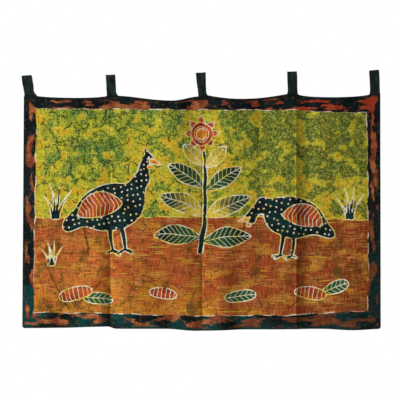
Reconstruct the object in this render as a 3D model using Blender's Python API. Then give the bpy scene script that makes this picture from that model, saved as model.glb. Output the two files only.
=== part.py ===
"""A batik wall hanging: one hemmed cotton panel that hangs by five cloth tab loops.

Metres, with +Z up. X runs across the hanging, to the right as seen from the front, and the front
faces -Y. The origin is on the rod line, under the crown of the middle loop, where a rod would bear.
"""

import math

import bpy
import numpy as np

# Cloth thicknesses, with room for the thread and the folded hems
SHEET = 0.0010
HEM_THICKNESS = 0.0018
SIDE_HEM = 0.012
TOP_HEM = 0.022
HEM_STEP = 0.002
GAP = 0.0003

# The four edges of the panel, as it hangs
LEFT_TOP, LEFT_BOTTOM = -0.5565, -0.5616
RIGHT_TOP, RIGHT_BOTTOM = 0.5590, 0.5604
CORNER_RADIUS = 0.008

# Bottom edge, from left to right: x, z
BOTTOM_EDGE = [
    (-0.562, -0.7991),
    (-0.443, -0.7982),
    (-0.296, -0.7941),
    (-0.268, -0.8007),
    (-0.112, -0.8013),
    (-0.018, -0.8076),
    (0.151, -0.8033),
    (0.376, -0.8017),
    (0.476, -0.8054),
    (0.561, -0.8017),
]

# Tab loops: name, x at the crown, x at the base, z under the crown, z of the base, width at the
# crown, width at the base, rise of the crown and of the hem under the tab from left to right
TABS = [
    ("tab_loop_1", -0.5480, -0.5386, -0.0091, -0.0704, 0.0314, 0.0320, 0.0030, 0.0),
    ("tab_loop_2", -0.2855, -0.2818, -0.0066, -0.0716, 0.0298, 0.0300, 0.0004, 0.0),
    ("tab_loop_3", -0.0032, 0.0022, 0.0000, -0.0714, 0.0310, 0.0249, 0.0024, 0.0048),
    ("tab_loop_4", 0.2828, 0.2850, 0.0034, -0.0657, 0.0305, 0.0303, 0.0002, 0.0),
    ("tab_loop_5", 0.5393, 0.5430, 0.0075, -0.0650, 0.0295, 0.0308, 0.0028, 0.0),
]
LOOP_RADIUS = 0.011
TAIL = 0.018
NECK = 0.002
CROWN_STEPS = 14
LEG_STEPS = 2

# How far each tab spreads to the left and to the right where it meets the hem, and up to what
# height over its base
SPREADS = [(0.0, 0.0070), (0.0, 0.0060), (0.0, 0.0045), (0.0025, 0.0015), (0.0020, 0.0)]
SPREAD_HEIGHT = 0.014
SPREAD_STEPS = 4

# Top edge between one tab and the next: sag, place of the lowest point as a share of the span, and
# power (under 1 is a flat-bottomed sag with steep ends, over 1 a pointed one)
SAGS = [
    (0.0075, 0.555, 0.53),
    (0.0140, 0.679, 1.72),
    (0.0140, 0.437, 0.92),
    (0.0113, 0.486, 0.47),
]

# Soft folds: x at the top, x at the bottom, half width, forward depth at the top, at mid height and
# at the bottom
FOLDS = [
    (-0.420, -0.440, 0.070, 0.0050, 0.0020, -0.0030),
    (-0.180, -0.215, 0.060, -0.0010, 0.0030, 0.0070),
    (-0.093, -0.120, 0.055, 0.0100, 0.0030, -0.0020),
    (0.010, 0.075, 0.065, -0.0010, -0.0030, 0.0050),
    (0.110, 0.150, 0.070, 0.0080, 0.0040, -0.0040),
    (0.215, 0.240, 0.045, -0.0020, 0.0010, 0.0040),
    (0.395, 0.380, 0.080, 0.0060, -0.0020, -0.0050),
    (0.480, 0.470, 0.050, -0.0010, 0.0030, 0.0060),
]

# Creases pressed in while the panel lay folded in four: x, half width, forward depth at the top, at
# mid height and at the bottom
CREASES = [
    (-0.287, 0.026, 0.0000, -0.0015, -0.0080),
    (0.000, 0.024, 0.0000, -0.0012, -0.0055),
    (0.297, 0.028, 0.0030, 0.0050, 0.0065),
]

# The flat patch at each tab, which its tail is sewn to, and how far the cloth takes to leave it
PATCH_MARGIN = 0.011
PATCH_BLEND = 0.045

# Mesh steps, and the mean width and height that they are laid out on
COLUMN_STEP = 0.024
ROW_STEP = 0.040
MEAN_LEFT = (LEFT_TOP + LEFT_BOTTOM) / 2
MEAN_RIGHT = (RIGHT_TOP + RIGHT_BOTTOM) / 2
MEAN_WIDTH = MEAN_RIGHT - MEAN_LEFT
MEAN_HEIGHT = 0.734

# Colours as linear red, green and blue
PANEL_COLOUR = (0.36, 0.25, 0.035, 1.0)
TAB_COLOUR = (0.012, 0.022, 0.020, 1.0)


def clear_scene():
    for obj in list(bpy.data.objects):
        bpy.data.objects.remove(obj)


def cloth_material(name, colour):
    material = bpy.data.materials.new(name)
    material.use_nodes = True
    shader = material.node_tree.nodes["Principled BSDF"]
    shader.inputs["Base Color"].default_value = colour
    shader.inputs["Roughness"].default_value = 0.9
    shader.inputs["Metallic"].default_value = 0.0
    return material


def smooth_step(share):
    share = np.clip(share, 0.0, 1.0)
    return share * share * (3.0 - 2.0 * share)


def smooth_curve(x, points):
    """A curve through the points that eases from each to the next, level at every point."""
    xs = np.array([p[0] for p in points])
    zs = np.array([p[1] for p in points])
    index = np.clip(np.searchsorted(xs, x) - 1, 0, len(xs) - 2)
    share = smooth_step((x - xs[index]) / (xs[index + 1] - xs[index]))
    return zs[index] + share * (zs[index + 1] - zs[index])


def top_edge(x):
    """The top edge is straight across the base of each tab, and sags from one tab to the next."""
    feet = [(tab[2] + side * tab[6], tab[4] + side * tab[8]) for tab in TABS for side in (-0.5, 0.5)]
    foot_x, foot_z = np.array(feet).T
    z = np.interp(x, foot_x, foot_z)
    for start, end, (sag, lowest, power) in zip(foot_x[1::2], foot_x[2::2], SAGS):
        share = (x - start) / (end - start)
        side = np.where(share < lowest, share / lowest, (1.0 - share) / (1.0 - lowest))
        z -= sag * np.sin(0.5 * math.pi * np.clip(side, 0.0, 1.0)) ** power
    return z


def bottom_edge(x):
    """The bottom edge, with its two corners rounded."""
    from_corner = np.minimum(x - LEFT_BOTTOM, RIGHT_BOTTOM - x)
    short = np.clip(CORNER_RADIUS - from_corner, 0.0, CORNER_RADIUS)
    lift = CORNER_RADIUS - np.sqrt(CORNER_RADIUS**2 - short**2)
    return smooth_curve(x, BOTTOM_EDGE) + lift


def through_height(share, top, middle, bottom):
    """A value that eases from top to middle to bottom as share goes from 0 to 1."""
    upper = top + smooth_step(2.0 * share) * (middle - top)
    return upper + smooth_step(2.0 * share - 1.0) * (bottom - middle)


def patch_mask(x, z):
    """0 on the flat patch at each tab, rising to 1 away from them all."""
    mask = np.ones_like(x)
    for _, _, base_x, _, base_z, _, width, _, _ in TABS:
        aside = np.maximum(np.abs(x - base_x) - width / 2 - PATCH_MARGIN, 0.0)
        below = np.maximum(base_z - TAIL - PATCH_MARGIN - z, 0.0)
        mask *= smooth_step(np.hypot(aside, below) / PATCH_BLEND)
    return mask


def forward(x, z, share):
    """How far the cloth stands towards the viewer: soft folds are bells across the width, creases
    are the same with a sharp crest."""
    depth = np.zeros_like(x)
    for x_top, x_bottom, half, top, middle, bottom in FOLDS:
        offset = (x - x_top - share * (x_bottom - x_top)) / half
        depth += np.exp(-offset * offset) * through_height(share, top, middle, bottom)
    for x_crease, half, top, middle, bottom in CREASES:
        offset = np.abs(x - x_crease) / half
        depth += np.exp(-offset) * through_height(share, top, middle, bottom)
    return depth * patch_mask(x, z)


def evenly(fixed, step):
    """The fixed values in order, with even steps of about the given size between each two."""
    fixed = sorted(fixed)
    values = [fixed[0]]
    for start, end in zip(fixed, fixed[1:]):
        count = max(1, round((end - start) / step))
        values += [start + (end - start) * i / count for i in range(1, count + 1)]
    return np.array(values)


def columns():
    """The mesh's columns as shares of the width: the edges, the rounding of the corners, the inner
    lines of the side hems, the creases and the sides of the flat patches, with even steps between."""
    hem_lines = [0.0, CORNER_RADIUS / 3, SIDE_HEM, SIDE_HEM + HEM_STEP]
    fixed = [MEAN_LEFT + line for line in hem_lines] + [MEAN_RIGHT - line for line in hem_lines]
    fixed += [crease[0] for crease in CREASES]
    for tab in TABS:
        reach = tab[6] / 2 + PATCH_MARGIN
        sides = [tab[2] - reach, tab[2] + reach]
        inner = [x for x in sides if MEAN_LEFT + 2 * SIDE_HEM < x < MEAN_RIGHT - 2 * SIDE_HEM]
        fixed += inner
    return (evenly(fixed, COLUMN_STEP) - MEAN_LEFT) / MEAN_WIDTH


def rows():
    """The mesh's rows as shares of the height, from the top: the edges, the inner lines of the hems
    and the rounding of the corners, with even steps between."""
    fixed = [0.0, TOP_HEM, TOP_HEM + HEM_STEP]
    fixed += [MEAN_HEIGHT - line for line in (SIDE_HEM + HEM_STEP, SIDE_HEM, CORNER_RADIUS / 3, 0.0)]
    return evenly(fixed, ROW_STEP) / MEAN_HEIGHT


def hem_mask(across, down):
    """Where the cloth is folded over into its hems. A mesh line that lies on a hem's inner line
    counts as hem, by half of the step that follows it."""
    side = (SIDE_HEM + HEM_STEP / 2) / MEAN_WIDTH
    top = (TOP_HEM + HEM_STEP / 2) / MEAN_HEIGHT
    bottom = (SIDE_HEM + HEM_STEP / 2) / MEAN_HEIGHT
    return (across < side) | (across > 1 - side) | (down < top) | (down > 1 - bottom)


def make_panel(material):
    """The panel: a grid laid on the folds, given its thickness backwards, and more in the hems."""
    across, down = np.meshgrid(columns(), rows())
    left = LEFT_TOP + down * (LEFT_BOTTOM - LEFT_TOP)
    right = RIGHT_TOP + down * (RIGHT_BOTTOM - RIGHT_TOP)
    x = left + across * (right - left)
    top, bottom = top_edge(x), bottom_edge(x)
    z = top + down * (bottom - top)
    y = -forward(x, z, down) - SHEET / 2
    count_down, count_across = x.shape
    points = np.stack([x, y, z], axis=-1).reshape(-1, 3)
    index = np.arange(count_down * count_across).reshape(count_down, count_across)
    corners = [index[1:, :-1], index[1:, 1:], index[:-1, 1:], index[:-1, :-1]]
    faces = np.stack(corners, axis=-1).reshape(-1, 4)
    mesh = bpy.data.meshes.new("batik_panel")
    mesh.from_pydata(points.tolist(), [], faces.tolist())
    mesh.materials.append(material)
    panel = bpy.data.objects.new("batik_panel", mesh)
    bpy.context.collection.objects.link(panel)

    in_hem = hem_mask(across, down).ravel()
    layers = panel.vertex_groups.new(name="layers")
    for inside, thickness in ((in_hem, HEM_THICKNESS), (~in_hem, SHEET)):
        layers.add(np.flatnonzero(inside).tolist(), thickness / HEM_THICKNESS, "REPLACE")
    solidify = panel.modifiers.new("cloth", "SOLIDIFY")
    solidify.thickness = HEM_THICKNESS
    solidify.offset = -1.0
    solidify.vertex_group = layers.name
    mesh.shade_smooth()
    return panel


def strip_line(crown_z, base_z):
    """The middle of a tab's folded strip, as y and z, from one sewn end over the crown to the other.
    Each leg is a straight line from its end in the seam to where it touches the crown's circle."""
    radius = LOOP_RADIUS + SHEET / 2
    centre_z = crown_z - LOOP_RADIUS
    front = HEM_THICKNESS - SHEET / 2 + GAP + SHEET / 2
    back = front + SHEET + GAP
    neck_z = base_z + NECK
    legs, touches = [], []
    for y, side in ((front, -1.0), (back, 1.0)):
        distance = math.hypot(y, centre_z - neck_z)
        towards = math.atan2(neck_z - centre_z, y)
        touch = towards + side * math.acos(radius / distance)
        touches.append(touch)
        end = (radius * math.cos(touch), centre_z + radius * math.sin(touch))
        spread_z = base_z + SPREAD_HEIGHT
        heights = [neck_z + (spread_z - neck_z) * i / SPREAD_STEPS for i in range(SPREAD_STEPS)]
        heights += [spread_z + (end[1] - spread_z) * i / LEG_STEPS for i in range(LEG_STEPS)]
        leg = [(y, base_z - TAIL), (y, base_z)]
        leg += [(y + (z - neck_z) / (end[1] - neck_z) * (end[0] - y), z) for z in heights]
        legs.append(leg)
    start, stop = touches[0] % (2 * math.pi), touches[1]
    turns = [start + (stop - start) * i / CROWN_STEPS for i in range(CROWN_STEPS + 1)]
    crown = [(radius * math.cos(t), centre_z + radius * math.sin(t)) for t in turns]
    return legs[0] + crown + legs[1][::-1]


def make_tab(tab, spread, material):
    """A tab: a strip of cloth folded over into a loop, whose two ends are sewn behind the top hem.
    Its sides spread towards the hem by the square of the way down to it."""
    name, crown_x, base_x, crown_z, base_z, crown_width, base_width, rise, _ = tab
    points, faces = [], []
    for y, z in strip_line(crown_z, base_z):
        share = min(max((z - base_z) / (crown_z - base_z), 0.0), 1.0)
        middle = base_x + share * (crown_x - base_x)
        half = (base_width + share * (crown_width - base_width)) / 2
        low = min(max(1.0 - (z - base_z) / SPREAD_HEIGHT, 0.0), 1.0) ** 2
        points.append((middle - half - low * spread[0], y, z - share * rise / 2))
        points.append((middle + half + low * spread[1], y, z + share * rise / 2))
    for i in range(0, len(points) - 2, 2):
        faces.append((i, i + 1, i + 3, i + 2))
    mesh = bpy.data.meshes.new(name)
    mesh.from_pydata(points, [], faces)
    mesh.materials.append(material)
    loop = bpy.data.objects.new(name, mesh)
    bpy.context.collection.objects.link(loop)
    solidify = loop.modifiers.new("cloth", "SOLIDIFY")
    solidify.thickness = SHEET
    solidify.offset = 0.0
    solidify.use_even_offset = True
    mesh.shade_smooth()
    return loop


def main():
    clear_scene()
    make_panel(cloth_material("batik_cotton", PANEL_COLOUR))
    tab_cloth = cloth_material("tab_cotton", TAB_COLOUR)
    for tab, spread in zip(TABS, SPREADS):
        make_tab(tab, spread, tab_cloth)


main()
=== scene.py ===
"""The looks of a batik wall hanging: one dyed and hemmed cotton panel on five cloth tab loops.

Everything is in metres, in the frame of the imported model: X to the right, Z up, the front faces -Y,
and the origin is on the rod line, under the crown of the middle loop.
"""

import math

import bpy
import numpy as np
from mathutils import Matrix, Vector


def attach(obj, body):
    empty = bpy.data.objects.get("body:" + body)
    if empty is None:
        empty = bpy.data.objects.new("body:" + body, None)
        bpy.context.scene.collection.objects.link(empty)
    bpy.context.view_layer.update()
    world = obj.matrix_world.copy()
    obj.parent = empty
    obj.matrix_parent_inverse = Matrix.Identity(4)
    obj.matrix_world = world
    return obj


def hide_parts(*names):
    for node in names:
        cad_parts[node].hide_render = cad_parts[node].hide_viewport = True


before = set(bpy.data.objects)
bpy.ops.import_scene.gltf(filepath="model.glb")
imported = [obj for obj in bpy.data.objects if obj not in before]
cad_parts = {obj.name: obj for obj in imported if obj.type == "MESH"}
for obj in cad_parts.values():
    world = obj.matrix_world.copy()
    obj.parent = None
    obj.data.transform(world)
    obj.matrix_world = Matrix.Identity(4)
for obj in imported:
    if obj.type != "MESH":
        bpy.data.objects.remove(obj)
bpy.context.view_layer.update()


# The panel is one length of plain-weave cotton, waxed, dyed and crackled by hand. Its four edges
# are turned in twice and sewn down. It hangs from its tabs, so the top edge dips between them, and
# it keeps the creases of having lain folded in four.
LEFT_TOP, LEFT_BOTTOM = -0.5565, -0.5616
RIGHT_TOP, RIGHT_BOTTOM = 0.5590, 0.5604
MEAN_LEFT, MEAN_RIGHT = (LEFT_TOP + LEFT_BOTTOM) / 2, (RIGHT_TOP + RIGHT_BOTTOM) / 2
MEAN_WIDTH, MEAN_HEIGHT = MEAN_RIGHT - MEAN_LEFT, 0.734
CORNER_RADIUS = 0.008
CLOTH, HEM_CLOTH = 0.0008, 0.0017
SIDE_HEM, TOP_HEM, HEM_STEP = 0.012, 0.022, 0.003
EDGE_ROUND = 0.0010
FRONT_FACE = -0.0005
GRID_STEP = 0.0046

# Bottom edge, from left to right: x, z
BOTTOM_EDGE = [
    (-0.562, -0.7991), (-0.443, -0.7982), (-0.296, -0.7941), (-0.268, -0.8007), (-0.112, -0.8013),
    (-0.018, -0.8076), (0.151, -0.8033), (0.376, -0.8017), (0.476, -0.8054), (0.561, -0.8017),
]

# Tab loops: x at the crown, x at the base, z under the crown, z of the base, width at the crown,
# width at the base, rise of the crown and of the hem under the tab from left to right, and how far
# the base spreads to the left and to the right
TABS = [
    (-0.5480, -0.5386, -0.0091, -0.0704, 0.0314, 0.0320, 0.0030, 0.0, 0.0, 0.0070),
    (-0.2855, -0.2818, -0.0066, -0.0716, 0.0298, 0.0300, 0.0004, 0.0, 0.0, 0.0060),
    (-0.0032, 0.0022, 0.0000, -0.0714, 0.0310, 0.0249, 0.0024, 0.0048, 0.0, 0.0045),
    (0.2828, 0.2850, 0.0034, -0.0657, 0.0305, 0.0303, 0.0002, 0.0, 0.0025, 0.0015),
    (0.5393, 0.5430, 0.0075, -0.0650, 0.0295, 0.0308, 0.0028, 0.0, 0.0020, 0.0),
]
TAIL = 0.018

# Top edge between one tab and the next: sag, place of the lowest point, power
SAGS = [(0.0075, 0.555, 0.53), (0.0140, 0.679, 1.72), (0.0140, 0.437, 0.92), (0.0113, 0.486, 0.47)]

# Soft folds: x at the top, x at the bottom, half width, forward depth at the top, the middle and
# the bottom
FOLDS = [
    (-0.420, -0.440, 0.070, 0.0050, 0.0020, -0.0030),
    (-0.180, -0.215, 0.060, -0.0010, 0.0030, 0.0070),
    (-0.093, -0.120, 0.055, 0.0100, 0.0030, -0.0020),
    (0.010, 0.075, 0.065, -0.0010, -0.0030, 0.0050),
    (0.110, 0.150, 0.070, 0.0080, 0.0040, -0.0040),
    (0.215, 0.240, 0.045, -0.0020, 0.0010, 0.0040),
    (0.395, 0.380, 0.080, 0.0060, -0.0020, -0.0050),
    (0.480, 0.470, 0.050, -0.0010, 0.0030, 0.0060),
    (-0.322, -0.316, 0.024, 0.0000, 0.0025, 0.0080), (-0.245, -0.255, 0.032, 0.0020, 0.0015, 0.0035),
    (-0.470, -0.485, 0.030, -0.0030, 0.0020, 0.0030), (-0.060, -0.050, 0.030, 0.0030, 0.0030, 0.0010),
    (0.072, 0.066, 0.028, 0.0010, 0.0025, 0.0050), (0.140, 0.122, 0.032, -0.0010, -0.0030, -0.0040),
    (0.190, 0.165, 0.028, -0.0050, -0.0040, 0.0010), (0.258, 0.262, 0.030, 0.0030, 0.0030, 0.0010),
    (0.334, 0.330, 0.026, -0.0065, -0.0060, -0.0030), (0.445, 0.440, 0.032, 0.0030, -0.0020, 0.0035),
]

# Creases pressed in while the panel lay folded, each with a broad part and a sharp one: x, half
# width, forward depth at the top, the middle and the bottom
CREASES = [
    (-0.287, 0.026, 0.0000, -0.0015, -0.0080), (-0.287, 0.006, -0.0010, -0.0018, -0.0028),
    (0.000, 0.024, 0.0000, -0.0012, -0.0055), (0.000, 0.005, -0.0008, -0.0014, -0.0018),
    (0.297, 0.028, 0.0030, 0.0050, 0.0065), (0.297, 0.006, 0.0018, 0.0020, 0.0016),
]
CREASE_LINES = [-0.010, -0.006, -0.003, -0.001, 0.001, 0.003, 0.006, 0.010]

# Small creases across the panel: x and z of the middle, half length, half height, forward depth
NICKS = [
    (-0.522, -0.639, 0.040, 0.0045, 0.0016),
    (-0.452, -0.742, 0.050, 0.0060, -0.0012),
    (0.180, -0.735, 0.060, 0.0070, 0.0012),
    (0.420, -0.300, 0.070, 0.0080, 0.0009),
    (-0.120, -0.200, 0.060, 0.0070, 0.0008),
]
PATCH_MARGIN, PATCH_BLEND = 0.011, 0.045
TAB_IMPRINT, IMPRINT_BLEND = 0.0004, 0.004


def ease(share):
    """Goes from 0 to 1, level at both ends: 3 s squared less 2 s cubed."""
    share = np.clip(share, 0.0, 1.0)
    return share * share * (3.0 - 2.0 * share)


def through_points(x, points):
    """A curve through the points, which eases from each one to the next."""
    xs, zs = np.array(points).T
    index = np.clip(np.searchsorted(xs, x) - 1, 0, len(xs) - 2)
    share = ease((x - xs[index]) / (xs[index + 1] - xs[index]))
    return zs[index] + share * (zs[index + 1] - zs[index])


def top_edge(x):
    """Straight across the base of each tab. Between two tabs it drops by sag times a power of the
    sine of the way to the lowest point."""
    feet = [(tab[1] + side * tab[5], tab[3] + side * tab[7]) for tab in TABS for side in (-0.5, 0.5)]
    foot_x, foot_z = np.array(feet).T
    z = np.interp(x, foot_x, foot_z)
    for start, end, (sag, lowest, power) in zip(foot_x[1::2], foot_x[2::2], SAGS):
        share = (x - start) / (end - start)
        side = np.where(share < lowest, share / lowest, (1.0 - share) / (1.0 - lowest))
        z -= sag * np.sin(0.5 * math.pi * np.clip(side, 0.0, 1.0)) ** power
    return z


def bottom_edge(x):
    """The curve of the bottom edge, lifted by a quarter circle at each corner."""
    from_corner = np.minimum(x - LEFT_BOTTOM, RIGHT_BOTTOM - x)
    short = np.clip(CORNER_RADIUS - from_corner, 0.0, CORNER_RADIUS)
    return through_points(x, BOTTOM_EDGE) + CORNER_RADIUS - np.sqrt(CORNER_RADIUS**2 - short**2)


def cloth_noise(x, z, size, seed):
    """Smooth bumps between -1 and 1: random heights on a square lattice of the given size, eased
    from each to the next both ways."""
    heights = np.random.default_rng(seed).uniform(-1.0, 1.0, (200, 200))
    a, b = (x + 0.7) / size, (z + 0.95) / size
    i, j = np.floor(a).astype(int), np.floor(b).astype(int)
    s, t = ease(a - i), ease(b - j)
    low = heights[i, j] * (1 - s) + heights[i + 1, j] * s
    high = heights[i, j + 1] * (1 - s) + heights[i + 1, j + 1] * s
    return low * (1 - t) + high * t


def through_height(share, top, middle, bottom):
    """Eases from top to middle to bottom as share goes from 0 to 1."""
    upper = top + ease(2.0 * share) * (middle - top)
    return upper + ease(2.0 * share - 1.0) * (bottom - middle)


def forward(x, z):
    """How far the cloth stands forward. Folds are bells exp(-s squared) across the width, creases
    are sharp-crested exp(-s), and nicks lie across. With fine crumpling and puckers along the hems,
    all shrink to nothing on the flat patch that each tab is sewn to, where the tab shows through."""
    top, bottom = top_edge(x), bottom_edge(x)
    share = np.clip((top - z) / (top - bottom), 0.0, 1.0)
    depth = 0.0011 * cloth_noise(x, z, 0.085, 1) + 0.0006 * cloth_noise(x, z, 0.034, 2)
    for x_top, x_bottom, half, *depths in FOLDS:
        offset = (x - x_top - share * (x_bottom - x_top)) / half
        depth += np.exp(-offset * offset) * through_height(share, *depths)
    for x_crease, half, *depths in CREASES:
        offset = np.hypot((x - x_crease) / half, 0.06) - 0.06
        depth += np.exp(-offset) * through_height(share, *depths)
    for x_nick, z_nick, length, height, lift in NICKS:
        depth += lift * np.exp(-((x - x_nick) / length) ** 2 - np.abs(z - z_nick) / height)
    from_edge = np.minimum(np.minimum(top - z, z - bottom), np.minimum(x - LEFT_TOP, RIGHT_TOP - x))
    pucker = cloth_noise(x, z, 0.0155, 3) * np.exp(-(((from_edge - SIDE_HEM) / 0.010) ** 2))
    depth += 0.0007 * pucker
    imprint = np.zeros_like(x)
    for _, base_x, _, base_z, _, base_width, _, _, left_spread, right_spread in TABS:
        aside = np.maximum(base_x - x - left_spread, x - base_x - right_spread) - base_width / 2
        below = base_z - TAIL - z
        past = np.hypot(np.maximum(aside - PATCH_MARGIN, 0.0), np.maximum(below - PATCH_MARGIN, 0.0))
        depth *= ease(past / PATCH_BLEND)
        imprint += ease(0.5 - aside / IMPRINT_BLEND) * ease(0.5 - below / IMPRINT_BLEND)
    return depth + TAB_IMPRINT * imprint


def even_steps(fixed, step):
    """The fixed values in order, with even steps of about the given size between each two."""
    fixed = sorted(fixed)
    values = [fixed[:1]]
    for start, end in zip(fixed, fixed[1:]):
        values.append(np.linspace(start, end, max(1, round((end - start) / step)) + 1)[1:])
    return np.concatenate(values)


def closed_sheet(name, middle, out, thickness, uv, fields):
    """A closed sheet: a grid of middle points, moved both ways along out by half the thickness.
    Front and back share the points of the rim. The fields become attributes of the points."""
    rows, columns = thickness.shape
    half = 0.5 * thickness[..., None] * out
    points = np.concatenate([(middle + half).reshape(-1, 3), (middle - half).reshape(-1, 3)])
    front = np.arange(rows * columns).reshape(rows, columns)
    rim = np.zeros((rows, columns), bool)
    rim[[0, -1], :] = rim[:, [0, -1]] = True
    back = np.where(rim, front, front + rows * columns)
    quads = []
    for index, order in ((front, (0, 1, 2, 3)), (back, (3, 2, 1, 0))):
        corners = [index[1:, :-1], index[1:, 1:], index[:-1, 1:], index[:-1, :-1]]
        quads.append(np.stack([corners[k] for k in order], axis=-1).reshape(-1, 4))
    used, quads = np.unique(np.concatenate(quads), return_inverse=True)
    quads = quads.reshape(-1, 4)
    mesh = bpy.data.meshes.new(name)
    mesh.from_pydata(points[used], [], quads)
    both_uv = np.concatenate([uv.reshape(-1, 2)] * 2)[used].astype(np.float32)
    mesh.uv_layers.new(name="cloth").uv.foreach_set("vector", both_uv[quads.ravel()].ravel())
    mesh.attributes.new("back", "FLOAT", "POINT")
    is_back = np.repeat([0.0, 1.0], rows * columns)[used].astype(np.float32)
    mesh.attributes["back"].data.foreach_set("value", is_back)
    for field_name, values in fields.items():
        values = np.concatenate([values.reshape(rows * columns, -1)] * 2)[used].astype(np.float32)
        kind, word = ("FLOAT", "value") if values.shape[1] == 1 else ("FLOAT_VECTOR", "vector")
        mesh.attributes.new(field_name, kind, "POINT").data.foreach_set(word, values.ravel())
    mesh.shade_smooth()
    piece = bpy.data.objects.new(name, mesh)
    bpy.context.scene.collection.objects.link(piece)
    return piece


def edge_profile(distance, round_over):
    """How thick the cloth is near its edge, as a share: a quarter circle over the rounding."""
    short = 1.0 - np.clip(distance / round_over, 0.0, 1.0)
    return np.sqrt(1.0 - short * short)


rim_lines = [0.0, EDGE_ROUND * 0.3, EDGE_ROUND, 0.0035]
side_lines = rim_lines + [SIDE_HEM, SIDE_HEM + HEM_STEP]
top_lines = rim_lines + [TOP_HEM, TOP_HEM + HEM_STEP]
column_lines = [MEAN_LEFT + d for d in side_lines] + [MEAN_RIGHT - d for d in side_lines]
column_lines += [crease[0] + offset for crease in CREASES[::2] for offset in CREASE_LINES]
row_lines = top_lines + [MEAN_HEIGHT - d for d in side_lines]
share_across, share_down = np.meshgrid(
    (even_steps(column_lines, GRID_STEP) - MEAN_LEFT) / MEAN_WIDTH,
    even_steps(row_lines, GRID_STEP) / MEAN_HEIGHT,
)
left = LEFT_TOP + share_down * (LEFT_BOTTOM - LEFT_TOP)
right = RIGHT_TOP + share_down * (RIGHT_BOTTOM - RIGHT_TOP)
x = left + share_across * (right - left)
z = top_edge(x) + share_down * (bottom_edge(x) - top_edge(x))
from_side = np.minimum(share_across, 1.0 - share_across) * MEAN_WIDTH
from_top, from_bottom = share_down * MEAN_HEIGHT, (1.0 - share_down) * MEAN_HEIGHT
from_edge = np.minimum(from_side, np.minimum(from_top, from_bottom))
past_hem = np.minimum(np.minimum(from_side, from_bottom) - SIDE_HEM, from_top - TOP_HEM)
full = HEM_CLOTH + (CLOTH - HEM_CLOTH) * ease(past_hem / HEM_STEP)
y = FRONT_FACE - forward(x, z) + 0.5 * full


# The drawing is reserved in wax: two spotted fowl beside a broad-leaved plant, with seed pods and
# grass on the ground. A form is a signed distance, so its wax line runs where that is zero. The
# forms lie in three layers, and each form has its own coordinates for its spots, veins or bars.
SPOTS, VEINS, BARS, PLAIN = (1, 0, 0), (0, 1, 0), (0, 0, 1), (0, 0, 0)
STEM_FOOT, STEM_HEIGHT = -0.560, 0.345
STEM_RADIUS, STEM_TAPER = 0.0085, 0.0040

# Leaves: height of the foot on the stem, side, angle, length, half width, layer
LEAVES = [
    (0.035, 1, 12, 0.150, 0.030, "under"), (0.045, -1, 10, 0.145, 0.031, "under"),
    (0.110, 1, 30, 0.155, 0.030, "over"), (0.120, -1, 30, 0.150, 0.030, "over"),
    (0.190, 1, 42, 0.130, 0.026, "under"), (0.200, -1, 40, 0.135, 0.026, "under"),
    (0.262, 1, 50, 0.095, 0.020, "over"), (0.268, -1, 52, 0.092, 0.020, "over"),
]
LEAF_DROOP = 0.85
FLOWER_RISE, PETAL_RADIUS, PETAL_DEPTH, PETALS, FLOWER_EYE = 0.025, 0.044, 0.011, 8, 0.017

# Seed pods: x, z, angle, half length, half width, layer, pattern
PODS = [
    (-0.395, -0.690, 14, 0.052, 0.021, "over", BARS), (-0.325, -0.706, -8, 0.046, 0.019, "under", VEINS),
    (-0.120, -0.690, -12, 0.044, 0.018, "over", BARS), (0.120, -0.700, 6, 0.048, 0.019, "under", VEINS),
    (0.340, -0.690, -10, 0.050, 0.020, "over", BARS), (0.420, -0.672, 20, 0.044, 0.018, "under", VEINS),
]

# Grass: x, z of the foot, size. Blades: lean, height
TUFTS = [(-0.455, -0.452, 1.0), (0.465, -0.455, 0.9), (-0.470, -0.600, 0.7)]
BLADES = [(-0.045, 0.075), (-0.018, 0.105), (0.012, 0.115), (0.040, 0.085)]

# Fowl: x, z, size, facing, and the line of the neck from the shoulder up to the head
FOWL = [
    (-0.285, -0.420, 1.12, 1, [(0.058, 0.030), (0.088, 0.078), (0.094, 0.112), (0.104, 0.132)]),
    (0.285, -0.452, 0.98, -1, [(0.058, 0.022), (0.096, 0.040), (0.118, 0.020), (0.136, -0.004)]),
]
NECK_RADII = [0.036, 0.020, 0.013, 0.0125]
LEGS = [((-0.004, -0.052), (0.004, -0.122)), ((0.030, -0.052), (0.041, -0.120))]
TOES = [(0.026, -0.006), (0.020, -0.014), (-0.016, -0.006)]

layers = {name: [np.full(x.shape, 1.0)] + [np.zeros(x.shape)] * 5 for name in ("under", "over", "top")}
hand_x = x + 0.0018 * np.sin(31 * z + 3 * np.sin(17 * x)) + 0.0010 * np.sin(83 * z + 40 * x)
hand_z = z + 0.0018 * np.sin(29 * x + 2 * np.sin(23 * z)) + 0.0010 * np.sin(71 * x - 37 * z)


def draw(layer, distance, along, aside, pattern):
    """Puts a form on a layer: where it is nearer than what is there, its distance, coordinates and
    pattern take over."""
    nearer = distance < layers[layer][0]
    new = (distance, along, aside) + pattern
    layers[layer] = [np.where(nearer, value, old) for value, old in zip(new, layers[layer])]


def turned(x, z, place, degrees):
    """Coordinates about a place, in a frame turned by an angle."""
    c, s = math.cos(math.radians(degrees)), math.sin(math.radians(degrees))
    return c * (x - place[0]) + s * (z - place[1]), c * (z - place[1]) - s * (x - place[0])


def ellipse(a, b, half_a, half_b):
    """Near its rim, the distance to an ellipse: k (k - 1) over the gradient of half k squared."""
    k = np.hypot(a / half_a, b / half_b) + 1e-9
    return k * (k - 1.0) / (np.hypot(a / half_a**2, b / half_b**2) + 1e-9)


def limb(x, z, start, end, start_radius, end_radius):
    """The distance to a limb whose radius runs evenly from one end to the other."""
    run, rise = end[0] - start[0], end[1] - start[1]
    share = ((x - start[0]) * run + (z - start[1]) * rise) / (run * run + rise * rise)
    share = np.clip(share, 0.0, 1.0)
    radius = start_radius + share * (end_radius - start_radius)
    return np.hypot(x - start[0] - share * run, z - start[1] - share * rise) - radius


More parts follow.
